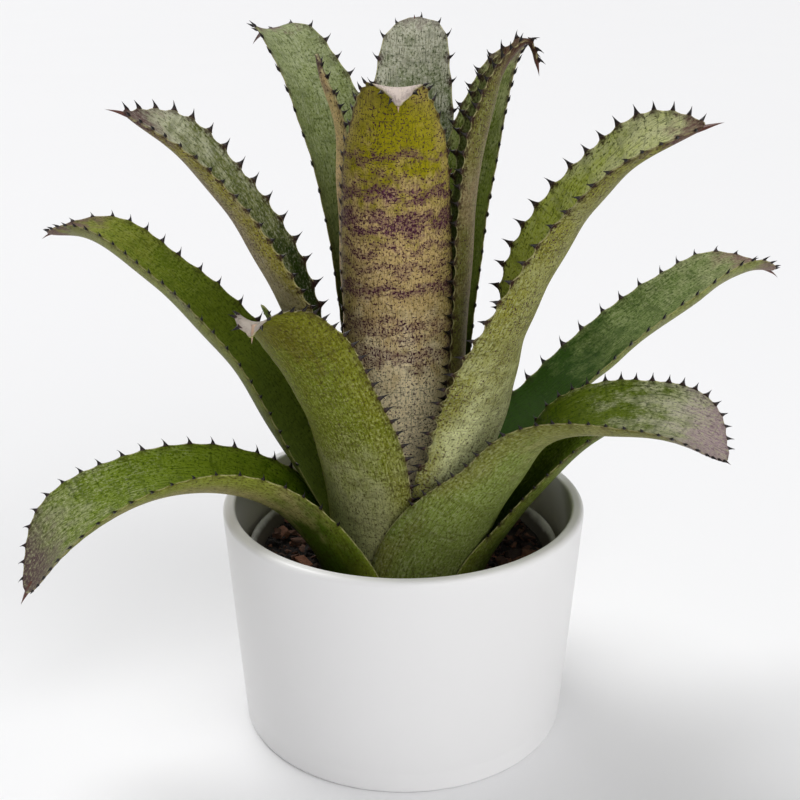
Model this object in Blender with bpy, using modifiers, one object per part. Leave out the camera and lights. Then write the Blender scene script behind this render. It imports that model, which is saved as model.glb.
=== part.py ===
"""Potted hohenbergia: a spiny bromeliad in a nursery pot that stands in a white cover pot.

Metres, +Z up, origin at the centre of the cover pot's underside. The values below are in millimetres
and are turned into metres by MM. The front of the plant is towards -Y.
"""

import math

import bmesh
import bpy
import numpy as np
from mathutils import Matrix, Vector

MM = 0.001
NAME = "potted_hohenbergia"
GAP = 0.3

# Cover pot: rim and foot radius, height, wall, floor.
POT_RIM = 76.0
POT_FOOT = 69.5
POT_HEIGHT = 98.0
POT_WALL = 5.2
POT_FLOOR = 6.0
POT_STEPS = 48

# Nursery pot, 13 cm across: rim radius and height above the floor, foot radius, wall.
GROW_RIM = 65.7
GROW_TOP = 78.5
GROW_LIP = 5.0
GROW_FOOT = 50.0
GROW_WALL = 1.3
GROW_FLOOR = 1.6
GROW_STEPS = 32
DRAIN_HOLES = 6
DRAIN_RADIUS = 4.0
DRAIN_CIRCLE = 34.0

# Bark soil: surface height, hole for the stem and the leaf feet, bark chunks.
SOIL_TOP = 69.0
SOIL_HOLE = 38.6
SOIL_HOLE_FLOOR = 54.0
BARK_COUNT = 44
BARK_SEED = 7

# Short stem: a low cone whose slope carries the leaf feet.
STEM_EDGE = 35.0
STEM_EDGE_TOP = 58.0
STEM_RISE = 0.6
STEM_TIP = 7.0

# Leaves: blade thickness, quads across, tooth pitch and depth of the notches between teeth.
BLADE = 0.9
ACROSS = 6
PITCH = 21.0
NOTCH = 2.4
TEETH_TO = 0.95
SPINE_ROOT = 1.3
END_SPINE = 6.0

# Each leaf: direction of its plane in degrees from +X towards +Y, the share of its length where the
# teeth start, the length of its middle spines, how far they lean towards the tip (+) or the foot (-),
# and stations (reach from the axis, height, offset to the left looking out, half width measured along
# the arc of the section, half angle of that arc in degrees, roll in degrees) from foot to tip. The
# height of a foot is written 0, because the stem's slope gives it.
LEAVES = {
    "leaf_low_left": (197, 0.20, 4.6, 0.4, [
        (33, 0, 0, 37, 64, 0), (35.5, 70, 0, 36, 63, 0), (43, 85, 0, 34, 62, 0),
        (56, 101, 0, 29, 62, 4), (80, 112.5, 0, 27, 60, 6), (112, 112, 0, 23, 52, -4),
        (141, 98, 0, 19.5, 42, -15), (155, 79, 0, 5.5, 32, -18)]),
    "leaf_low_tucked": (0, 0.22, 4.0, 0.3, [
        (33, 0, 0, 34, 58, 0), (36, 70, 0, 33, 58, 0), (46.5, 88, 0, 28, 52, 0),
        (60, 106, 0, 23, 48, 0), (80, 126, 0, 17, 46, 0), (98, 137, 0, 12, 40, 0),
        (109, 139, 0, 4, 30, 0)]),
    "leaf_low_right": (334, 0.25, 5.0, 0.0, [
        (27.5, 0, -14, 36, 66, -27), (30, 75, -15, 36, 66, -26), (38.5, 95, -13.5, 34.5, 58, -22),
        (50.5, 115, -8.5, 28.5, 55, -14), (64, 135, -5, 28, 54, -4), (94, 146.5, 0, 25.5, 48, 5),
        (121, 144.5, 0, 21, 43, 4), (131, 140, 0, 8.5, 34, 3)]),
    "leaf_low_back": (100, 0.22, 5.0, 0.4, [
        (33, 0, 0, 18, 32, 0), (36, 75, 0, 19, 34, 0), (48, 91, 0, 24, 46, 0),
        (80, 103, 0, 25, 48, 0), (112, 98, 0, 19, 45, 0), (131, 86, 0, 3, 30, 0)]),
    "leaf_low_back_right": (58, 0.22, 5.0, 0.4, [
        (30.5, 0, 0, 18, 34, 0), (32.5, 75, 0, 18, 34, 0), (41, 94, 0, 20, 40, 0),
        (64, 110, 0, 22, 46, 0), (94, 110, 0, 18, 44, 0), (114, 100, 0, 3, 30, 0)]),
    "leaf_front_left": (238, 0.30, 5.0, -0.1, [
        (28, 0, 0, 25, 50, 0), (30.5, 80, 0, 25, 48, 0), (34.5, 102, 0, 24, 48, 0),
        (43, 130, 0, 25, 50, 0), (56, 158, -1, 22.5, 48, 2), (70, 182, -5, 21, 48, 10),
        (81, 194, -5, 14, 38, 12), (88, 196, -5, 8, 32, 8), (91, 193.5, -4, 2.5, 30, 0)]),
    "leaf_mid_right": (22, 0.26, 5.6, 0.4, [
        (27, 0, 0, 16, 34, 0), (29, 80, 0, 17, 35, 0), (41, 107, 5, 16.5, 36, 0),
        (73, 130, 3, 21, 44, -3), (104, 151, 2, 24, 48, -6), (134, 169.5, 0, 23.5, 48, -7),
        (162, 181, 0, 18.5, 46, -6), (178, 180, 0, 8, 34, 0)]),
    "leaf_mid_left": (164, 0.26, 5.6, 0.3, [
        (26, 0, 0, 12, 26, 0), (28.5, 80, 0, 12, 26, 0), (38, 98, 0, 16, 34, 0),
        (50, 116, 0, 23, 50, 0), (76, 154, 0, 25, 55, 4), (108, 184, 0, 21, 52, 5),
        (140, 202, 0, 17, 46, 4), (156, 202.5, 0, 7, 34, 0)]),
    "leaf_front_right": (318, 0.25, 6.8, -0.2, [
        (25.5, 0, 0, 25, 56, 0), (28, 85, 0, 25, 54, 0), (34.5, 110, 0, 25.5, 53, 0),
        (46, 142, 0.5, 29.5, 55, 4), (63, 190, 0.5, 34, 65, 31), (87, 235, 1.5, 23, 60, 33),
        (110, 256, 0, 16.5, 50, 29), (125, 263.5, 0, 5, 34, 20)]),
    "leaf_back_tall": (85, 0.26, 5.4, 0.5, [
        (24, 0, 0, 20, 48, 0), (30, 110, 0, 23, 46, 0), (44, 170, 0, 22, 42, 0),
        (62, 230, 1, 20, 38, 0), (76, 264, 2, 17.5, 36, 0), (87, 281, 2, 12.5, 32, 0),
        (93, 286, 3, 6, 30, 0)]),
    "leaf_upper_left": (205, 0.26, 6.0, 0.2, [
        (23.5, 0, 0, 20, 48, 0), (28, 112, 0, 22, 54, -2), (37, 152, 1, 23, 62, -8),
        (52, 190, 0, 27, 64, -20), (72, 228, 0, 23.5, 57, -20), (93, 254, 0, 17, 46, -20),
        (105, 263, 0, 5, 30, -14)]),
    "leaf_upper_back_right": (47, 0.26, 4.8, 0.3, [
        (22, 0, 0, 19, 49, 0), (25.5, 120, 0, 18, 46, 0), (32, 180, 0, 20, 50, 0),
        (43, 226, 0, 17, 50, 0), (53, 256, 0, 13, 45, 0), (65, 275, 0, 7, 38, 0),
        (73, 279, 0, 2.2, 30, 0)]),
    "leaf_upper_right": (2, 0.26, 5.0, 0.4, [
        (19.5, 0, 0, 19, 55, 0), (22, 120, 0, 20, 52, 0), (25.5, 180, 0, 20, 50, 0),
        (28, 225, 0, 19, 58, 0), (33, 258, 0, 16, 65, 0), (40, 277, 0, 10, 55, 0),
        (46, 283, 0, 6, 45, 0), (50, 277, 0, 3, 30, 0)]),
    "leaf_upper_back_left": (132, 0.26, 4.5, 0.3, [
        (20, 0, 0, 20, 58, 0), (23, 120, 0, 21, 54, 0), (29, 180, -1, 20, 52, 0),
        (41, 232, 0, 20, 48, 0), (62, 268, 0, 18, 42, 0), (80, 283, 0, 12, 36, 0),
        (89, 283, 0, 4, 30, 0)]),
    "leaf_centre_banded": (270, 0.40, 4.5, 0.2, [
        (18, 0, 0, 22, 68, 0), (18.5, 88, 0, 22, 68, 0), (20.5, 120, -1, 25, 68, 0),
        (26, 180, -2, 28, 70, 0),
        (27, 225, -3, 28, 74, 0), (28, 248, -3, 24, 66, 0), (30.5, 264, -3, 16, 54, 0),
        (34, 269.5, -2, 10.5, 28, 0), (37.5, 268.5, -2, 6, 20, 0), (39.5, 266, -2, 2.2, 20, 0)]),
    "leaf_centre_narrow": (184, 0.55, 3.5, 0.2, [
        (15.5, 0, 0, 17, 62, 0), (19, 120, 0, 17, 66, 0), (24, 180, 0, 14, 70, 0),
        (25, 230, 0, 12, 70, 0), (27, 258, 0, 8, 60, 0), (32, 278, 0, 2.2, 30, 0)]),
    "leaf_small_left": (214, 0.45, 3.5, 0.4, [
        (26, 0, 0, 7, 15, 0), (30, 90, 0, 8, 20, 0), (38, 130, 0, 8, 22, 0),
        (50, 165, 0, 7, 28, 0), (63, 191, 0, 2.2, 28, 0)]),
    "leaf_heart": (321, 0.55, 3.0, 0.2, [
        (11, 0, 0, 13, 66, 0), (12, 120, 0, 13, 70, 0), (14, 180, 0, 11, 65, 0),
        (17, 215, 0, 7, 60, 0), (20, 234, 0, 2.2, 40, 0)]),
}

LEAF_GREEN = (0.13, 0.20, 0.05, 1.0)
LEAF_COLOURS = {
    "leaf_centre_banded": (0.36, 0.27, 0.13, 1.0),
    "leaf_upper_left": (0.17, 0.17, 0.08, 1.0),
    "leaf_back_tall": (0.20, 0.25, 0.14, 1.0),
    "leaf_front_left": (0.17, 0.24, 0.07, 1.0),
}


def clear_scene():
    for item in list(bpy.data.objects):
        bpy.data.objects.remove(item, do_unlink=True)
    for group in list(bpy.data.collections):
        bpy.data.collections.remove(group)


def collection(name, hidden=False):
    group = bpy.data.collections.new(name)
    bpy.context.scene.collection.children.link(group)
    group.hide_render = hidden
    return group


def material(name, colour, roughness, metallic=0.0):
    mat = bpy.data.materials.new(name)
    mat.use_nodes = True
    shader = mat.node_tree.nodes["Principled BSDF"]
    shader.inputs["Base Color"].default_value = colour
    shader.inputs["Roughness"].default_value = roughness
    shader.inputs["Metallic"].default_value = metallic
    return mat


def mesh_object(name, verts, faces, group, mat=None):
    mesh = bpy.data.meshes.new(name)
    mesh.from_pydata([tuple(v) for v in verts], [], faces)
    mesh.update()
    obj = bpy.data.objects.new(name, mesh)
    group.objects.link(obj)
    if mat:
        mesh.materials.append(mat)
    return obj


def tidy(obj, triangles=False):
    """Face normals outward, doubled corners merged."""
    bm = bmesh.new()
    bm.from_mesh(obj.data)
    bmesh.ops.remove_doubles(bm, verts=bm.verts, dist=1e-6)
    bmesh.ops.recalc_face_normals(bm, faces=bm.faces)
    if triangles:
        bmesh.ops.triangulate(bm, faces=bm.faces)
    bm.to_mesh(obj.data)
    bm.free()


def apply_modifiers(obj):
    graph = bpy.context.evaluated_depsgraph_get()
    mesh = bpy.data.meshes.new_from_object(obj.evaluated_get(graph))
    obj.modifiers.clear()
    obj.data = mesh


def lathe(name, profile, steps, group, mat):
    """Solid of revolution of a profile of (radius, height) in millimetres, from the axis to the axis."""
    verts = [(r * MM, 0.0, z * MM) for r, z in profile]
    mesh = bpy.data.meshes.new(name)
    mesh.from_pydata(verts, [(i, i + 1) for i in range(len(verts) - 1)], [])
    obj = bpy.data.objects.new(name, mesh)
    group.objects.link(obj)
    screw = obj.modifiers.new("turn", "SCREW")
    screw.steps = steps
    screw.render_steps = steps
    screw.use_merge_vertices = True
    screw.merge_threshold = 0.00001
    apply_modifiers(obj)
    tidy(obj)
    obj.data.materials.append(mat)
    return obj


def fuse(obj, repeats, operation="UNION"):
    """One Boolean with all the objects of a collection, which are then removed."""
    boolean = obj.modifiers.new("fuse", "BOOLEAN")
    boolean.operation = operation
    boolean.operand_type = "COLLECTION"
    boolean.collection = repeats
    boolean.solver = "EXACT"
    apply_modifiers(obj)
    for item in list(repeats.objects):
        bpy.data.objects.remove(item, do_unlink=True)


def wall_radius(foot, rim, height, z):
    return foot + (rim - foot) * z / height


def cover_pot(group):
    mat = material("white_glaze", (0.86, 0.86, 0.87, 1.0), 0.35)
    inner = [(wall_radius(POT_FOOT, POT_RIM, POT_HEIGHT, z) - POT_WALL, z) for z in (POT_FLOOR + 4, 95.0)]
    profile = [
        (0, POT_FLOOR), (inner[0][0] - 4, POT_FLOOR), inner[0], inner[1],
        (POT_RIM - 4.2, 97.4), (POT_RIM - 2.6, POT_HEIGHT), (POT_RIM - 0.9, 97.4), (POT_RIM, 95.4),
        (wall_radius(POT_FOOT, POT_RIM, POT_HEIGHT, 9.0), 9.0), (POT_FOOT, 1.2), (POT_FOOT - 1.2, 0),
        (0, 0)]
    return lathe("cover_pot", profile, POT_STEPS, group, mat)


def grow_wall(z):
    """Outer radius of the nursery pot's wall at a height."""
    low = POT_FLOOR + GAP
    return GROW_FOOT + (GROW_RIM - 1.2 - GROW_FOOT) * (z - low) / (GROW_TOP - low)


def grow_pot(group, cutters):
    mat = material("pale_plastic", (0.62, 0.62, 0.60, 1.0), 0.5)
    low = POT_FLOOR + GAP
    floor = low + GROW_FLOOR
    profile = [
        (0, floor), (grow_wall(floor) - GROW_WALL, floor),
        (grow_wall(GROW_TOP - 1) - GROW_WALL, GROW_TOP - 1), (GROW_RIM - 1.6, GROW_TOP),
        (GROW_RIM - 0.5, GROW_TOP), (GROW_RIM, GROW_TOP - 0.6), (GROW_RIM, GROW_TOP - GROW_LIP),
        (grow_wall(GROW_TOP - GROW_LIP - 1), GROW_TOP - GROW_LIP - 1), (grow_wall(low), low), (0, low)]
    pot = lathe("grow_pot", profile, GROW_STEPS, group, mat)
    for i in range(DRAIN_HOLES):
        a = 2 * math.pi * (i + 0.5) / DRAIN_HOLES
        bm = bmesh.new()
        bmesh.ops.create_cone(bm, cap_ends=True, segments=10, radius1=DRAIN_RADIUS * MM,
                              radius2=DRAIN_RADIUS * MM, depth=0.02)
        place = Matrix.Translation((DRAIN_CIRCLE * MM * math.cos(a), DRAIN_CIRCLE * MM * math.sin(a), low * MM))
        bm.transform(place)
        mesh = bpy.data.meshes.new("drain")
        bm.to_mesh(mesh)
        bm.free()
        drain = bpy.data.objects.new("drain", mesh)
        drain.display_type = "WIRE"
        cutters.objects.link(drain)
    fuse(pot, cutters, "DIFFERENCE")
    return pot


def bark_chunk(rng, size):
    """Convex splinter of bark with eight moved corners."""
    bm = bmesh.new()
    for x in (-0.5, 0.5):
        for y in (-0.5, 0.5):
            for z in (-0.5, 0.5):
                bm.verts.new(Vector((x, y, z)) * (1 + rng.uniform(-0.18, 0.18)))
    bmesh.ops.convex_hull(bm, input=bm.verts)
    turn = Matrix.Rotation(rng.uniform(0, 6.28), 4, "Z") @ Matrix.Rotation(rng.uniform(-0.5, 0.5), 4, "X")
    bm.transform(turn @ Matrix.Diagonal((size[0] * MM, size[1] * MM, size[2] * MM, 1)))
    bmesh.ops.recalc_face_normals(bm, faces=bm.faces)
    return bm


def substrate(group, repeats):
    mat = material("bark_soil", (0.045, 0.025, 0.018, 1.0), 0.95)
    low = POT_FLOOR + GAP + GROW_FLOOR + GAP
    inside = GROW_WALL + GAP
    profile = [
        (0, SOIL_HOLE_FLOOR), (SOIL_HOLE - 2.5, SOIL_HOLE_FLOOR), (SOIL_HOLE, SOIL_TOP - 3),
        (SOIL_HOLE + 1.5, SOIL_TOP - 0.5), (46, SOIL_TOP), (53, SOIL_TOP + 0.5),
        (grow_wall(SOIL_TOP) - inside - 1, SOIL_TOP), (grow_wall(SOIL_TOP - 2) - inside, SOIL_TOP - 2),
        (grow_wall(low) - inside, low), (0, low)]
    soil = lathe("substrate", profile, GROW_STEPS, group, mat)
    rng = np.random.default_rng(BARK_SEED)
    for i in range(BARK_COUNT):
        a = i * 2.39996 + rng.uniform(-0.15, 0.15)
        r = 45.5 + 7.0 * ((i * 0.618) % 1.0)
        size = (rng.uniform(7, 12), rng.uniform(5, 8), rng.uniform(4, 6))
        bm = bark_chunk(rng, size)
        bm.transform(Matrix.Translation((r * MM * math.cos(a), r * MM * math.sin(a), (SOIL_TOP + 0.6) * MM)))
        mesh = bpy.data.meshes.new("bark")
        bm.to_mesh(mesh)
        bm.free()
        repeats.objects.link(bpy.data.objects.new("bark", mesh))
    fuse(soil, repeats)
    return soil


def stem_height(radius):
    """Height of the stem's slope at a distance from the axis."""
    return STEM_EDGE_TOP + (STEM_EDGE - radius) * STEM_RISE


def stem(group):
    mat = material("stem", (0.16, 0.11, 0.06, 1.0), 0.8)
    low = SOIL_HOLE_FLOOR + GAP
    profile = [
        (0, stem_height(STEM_TIP)), (STEM_TIP, stem_height(STEM_TIP)), (STEM_EDGE, STEM_EDGE_TOP),
        (STEM_EDGE, low + 1), (STEM_EDGE - 1, low), (0, low)]
    return lathe("stem", profile, GROW_STEPS, group, mat)


def spline(knots, values, places):
    """Smooth curve through the stations (cubic Hermite)."""
    slopes = np.gradient(values, knots, axis=0)
    i = np.clip(np.searchsorted(knots, places, side="right") - 1, 0, len(knots) - 2)
    h = (knots[i + 1] - knots[i])[:, None]
    s = (places - knots[i])[:, None] / h
    start = (1 + 2 * s) * (1 - s) ** 2 * values[i] + s * (1 - s) ** 2 * h * slopes[i]
    end = s * s * (3 - 2 * s) * values[i + 1] + s * s * (s - 1) * h * slopes[i + 1]
    return start + end


class Leaf:
    """Centre line, section and frame of one leaf, in millimetres."""

    def __init__(self, azimuth, stations):
        rows = np.array(stations, float)
        rows[0, 1] = stem_height(math.hypot(rows[0, 0], rows[0, 2]) - BLADE / 2) + GAP
        a = math.radians(azimuth)
        outward = np.array([math.cos(a), math.sin(a), 0.0])
        self.across = np.array([-math.sin(a), math.cos(a), 0.0])
        centre = rows[:, :1] * outward + rows[:, 2:3] * self.across + rows[:, 1:2] * np.array([0, 0, 1.0])
        steps = np.linalg.norm(np.diff(centre, axis=0), axis=1)
        self.knots = np.concatenate([[0], np.cumsum(steps)])
        self.values = np.hstack([centre, rows[:, 3:]])
        fine = np.linspace(0, self.knots[-1], 400)
        path = spline(self.knots, self.values, fine)[:, :3]
        run = np.concatenate([[0], np.cumsum(np.linalg.norm(np.diff(path, axis=0), axis=1))])
        self.fine, self.run, self.length = fine, run, run[-1]

    def at(self, lengths):
        """Centre, tangent, side, normal, half width and half angle at lengths along the leaf."""
        places = np.interp(lengths, self.run, self.fine)
        value = spline(self.knots, self.values, places)
        ahead = spline(self.knots, self.values, np.clip(places + 0.5, 0, self.knots[-1]))
        behind = spline(self.knots, self.values, np.clip(places - 0.5, 0, self.knots[-1]))
        tangent = ahead[:, :3] - behind[:, :3]
        tangent /= np.linalg.norm(tangent, axis=1)[:, None]
        side = self.across - (tangent @ self.across)[:, None] * tangent
        side /= np.linalg.norm(side, axis=1)[:, None]
        normal = np.cross(tangent, side)
        roll = np.radians(value[:, 5])[:, None]
        turned = side * np.cos(roll) + normal * np.sin(roll)
        normal = normal * np.cos(roll) - side * np.sin(roll)
        return value[:, :3], tangent, turned, normal, value[:, 3], np.radians(value[:, 4])

    def section(self, lengths, across, trim):
        """Points of the arc-shaped sections; trim shortens both ends of a section."""
        centre, _, side, normal, half, angle = self.at(lengths)
        half_trimmed = half - trim
        turn = across[None, :] * (angle * half_trimmed / half)[:, None]
        radius = (half / angle)[:, None, None]
        return (centre[:, None] + side[:, None] * radius * np.sin(turn)[..., None]
                + normal[:, None] * radius * (1 - np.cos(turn))[..., None])


def leaf_rows(length, teeth_from):
    """Lengths of the rows of a blade, and which of them are crests (teeth) and which are notches."""
    start = teeth_from * length
    count = max(2, round((length * TEETH_TO - start) / PITCH))
    toothed = np.linspace(start, length * TEETH_TO, 2 * count + 1)
    lower = np.linspace(0, start, max(3, round(start / 14)) + 1)[:-1]
    lengths = np.concatenate([lower, toothed, [length]])
    crest = np.zeros(len(lengths), bool)
    crest[len(lower):len(lower) + 2 * count + 1:2] = True
    notch = np.zeros(len(lengths), bool)
    notch[len(lower) + 1:len(lower) + 2 * count:2] = True
    return lengths, crest, notch


class Sheet:
    """Middle surface of a blade: rows of points joined by triangles, and the points that end sharp."""

    def __init__(self):
        self.verts = []
        self.faces = []
        self.sharp = []

    def add(self, point):
        self.verts.append(point)
        return len(self.verts) - 1


def margin(form, sheet, lengths, crest, notch, spine_length, lean, hand):
    """Points along one margin: for each row its first and last point, with a spine at each crest."""
    first, last = [], []
    half = form.at(lengths)[4]
    for i, place in enumerate(lengths):
        if not crest[i]:
            trim = min(NOTCH, 0.25 * half[i]) if notch[i] else 0.0
            point = form.section(np.array([place]), np.array([hand]), trim)[0, 0]
            first.append(sheet.add(point))
            last.append(first[-1])
            continue
        size = spine_length * (1.15 - 0.4 * place / form.length)
        root = min(SPINE_ROOT * (0.5 + 0.1 * size), 0.2 * PITCH)
        pair = form.section(np.array([place - root, place + root]), np.array([hand]), 0.0)[:, 0]
        first.append(sheet.add(pair[0]))
        last.append(sheet.add(pair[1]))
        _, tangent, side, normal, _, angle = form.at(np.array([place]))
        outward = hand * side[0] * math.cos(angle[0]) + normal[0] * math.sin(angle[0])
        tip = pair.mean(axis=0) + outward * size + tangent[0] * lean * size
        sheet.sharp.append(sheet.add(tip))
        sheet.faces.append((first[-1], last[-1], sheet.sharp[-1]))
    return first, last


def blade_sheet(azimuth, teeth_from, spine_length, lean, stations):
    form = Leaf(azimuth, stations)
    lengths, crest, notch = leaf_rows(form.length, teeth_from)
    across = np.linspace(-1, 1, ACROSS + 1)[1:-1]
    sheet = Sheet()
    inner = [[sheet.add(point) for point in row] for row in form.section(lengths, across, 0.0)]
    left = margin(form, sheet, lengths, crest, notch, spine_length, lean, -1.0)
    right = margin(form, sheet, lengths, crest, notch, spine_length, lean, 1.0)
    for i in range(len(lengths) - 1):
        low = [left[1][i]] + inner[i] + [right[1][i]]
        high = [left[0][i + 1]] + inner[i + 1] + [right[0][i + 1]]
        for j in range(ACROSS):
            sheet.faces += [(low[j], low[j + 1], high[j + 1]), (low[j], high[j + 1], high[j])]
        if crest[i]:
            sheet.faces.append((left[0][i], left[1][i], inner[i][0]))
            sheet.faces.append((right[0][i], inner[i][-1], right[1][i]))
    end = form.at(np.array([form.length]))
    sheet.sharp.append(sheet.add(end[0][0] + end[1][0] * END_SPINE))
    row = [left[1][-1]] + inner[-1] + [right[1][-1]]
    for j in range(ACROSS):
        sheet.faces.append((row[j], row[j + 1], sheet.sharp[-1]))
    return sheet


def leaf(name, azimuth, teeth_from, spine_length, lean, stations, group):
    mat = material(name, LEAF_COLOURS.get(name, LEAF_GREEN), 0.55)
    sheet = blade_sheet(azimuth, teeth_from, spine_length, lean, stations)
    blade = mesh_object(name, np.array(sheet.verts) * MM, sheet.faces, group, mat)
    tidy(blade)
    solid = blade.modifiers.new("thickness", "SOLIDIFY")
    solid.thickness = BLADE * MM
    solid.offset = 0.0
    apply_modifiers(blade)
    count = len(sheet.verts)
    for point in sheet.sharp:
        pair = (blade.data.vertices[point], blade.data.vertices[point + count])
        middle = (pair[0].co + pair[1].co) / 2
        for vert in pair:
            vert.co = middle
    tidy(blade, triangles=True)
    return blade


def build():
    clear_scene()
    group = collection(NAME)
    cutters = collection("cutters", hidden=True)
    cover_pot(group)
    grow_pot(group, cutters)
    substrate(group, cutters)
    stem(group)
    for name, (azimuth, teeth_from, spine_length, lean, stations) in LEAVES.items():
        leaf(name, azimuth, teeth_from, spine_length, lean, stations, group)


build()
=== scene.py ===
"""Looks of the potted hohenbergia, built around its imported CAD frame.

Metres, +Z up, origin at the centre of the cover pot's underside; the photograph looks along +Y. The
sizes below are in millimetres, as in the part, and are turned into metres by MM. Every leaf follows
the same centre line and sections as its CAD solid, with all its teeth, curved spines and markings.
"""

import math

import bmesh
import bpy
import numpy as np
from mathutils import Matrix, Vector


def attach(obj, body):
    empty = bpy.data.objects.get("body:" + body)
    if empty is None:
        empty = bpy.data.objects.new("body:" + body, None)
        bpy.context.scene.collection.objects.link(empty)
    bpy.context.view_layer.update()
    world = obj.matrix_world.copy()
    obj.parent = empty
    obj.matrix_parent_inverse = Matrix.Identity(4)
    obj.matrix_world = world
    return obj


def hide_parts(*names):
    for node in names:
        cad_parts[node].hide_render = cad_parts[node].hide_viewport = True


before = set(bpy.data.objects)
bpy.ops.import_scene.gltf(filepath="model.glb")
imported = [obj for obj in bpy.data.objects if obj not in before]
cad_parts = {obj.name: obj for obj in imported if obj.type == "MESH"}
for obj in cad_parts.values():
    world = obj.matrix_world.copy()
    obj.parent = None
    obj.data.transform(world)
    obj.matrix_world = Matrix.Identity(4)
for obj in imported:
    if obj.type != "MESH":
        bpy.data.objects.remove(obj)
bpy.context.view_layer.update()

MM = 0.001
GAP = 0.3

# Pots, soil and stem, as in the part.
POT_RIM = 76.0
POT_FOOT = 69.5
POT_HEIGHT = 98.0
POT_WALL = 5.2
POT_FLOOR = 6.0
GROW_RIM = 65.7
GROW_TOP = 78.5
GROW_LIP = 5.0
GROW_LIP_OUT = 1.2
GROW_FOOT = 50.0
GROW_WALL = 1.3
GROW_FLOOR = 1.6
DRAIN_HOLES = 6
DRAIN_RADIUS = 4.0
DRAIN_CIRCLE = 34.0
SOIL_TOP = 69.0
SOIL_HOLE = 38.6
STEM_EDGE = 35.0
STEM_EDGE_TOP = 58.0
STEM_RISE = 0.6

# Soil: its rise at the nursery pot's wall, rings and steps of the bed, and (count, sizes, points, lift,
# tone) of the chunks, chips and crumbs of bark.
HEAP = 4.2
SOIL_RINGS = 34
SOIL_STEPS = 150
SOIL_SEED = 5
BARK_SEED = 8
BARK = ((46, (7, 11), 16, 1.0, 0.5), (330, (3, 6.5), 11, 1.0, 0.2), (1500, (1.2, 3), 7, 0.8, 0.05))

# Leaves: blade thickness in the part, in the middle and at the margin, grid steps along and across a
# blade, how far its rounded tip passes the last station, how deep the tip's horn is sunk in, and the
# length of margin by the tip that has no teeth.
BLADE = 0.9
BLADE_MIDDLE = 1.3
BLADE_MARGIN = 0.34
ROW_STEP = 1.5
COLUMNS = 28
TIP_ROUND = 1.5
END_SUNK = 2.5
END_BARE = 2.2
LEAF_SEED = 100

# Spines: sides of one horn, and its rings from root (0) to tip (1).
SPINE_SIDES = 8
SPINE_RINGS = np.array([0.0, 0.1, 0.2, 0.32, 0.46, 0.6, 0.74, 0.88])

# How far apart the two faces of a blade, and two leaves, lie in the skin's noise.
FACE_LAYER = 40.0
LEAF_LAYER = 97.0

# Studio: floor in metres, light from all round, and two wide lights as (azimuth from +X towards +Y,
# elevation, spread, strength), angles in degrees.
FLOOR_SIZE = 40.0
WORLD_LIGHT = 0.25
KEY_LIGHT = (130.0, 55.0, 38.0, 2.02)
SIDE_LIGHT = (305.0, 35.0, 60.0, 1.7)

# Camera, fitted to the pot's edges in the photograph: metres, degrees from straight down, millimetres.
CAMERA_PLACE = (-0.0014, -0.4744, 0.3178)
CAMERA_ANGLE = 69.63
CAMERA_SENSOR = 36.0
CAMERA_LENS = 55.35

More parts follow.
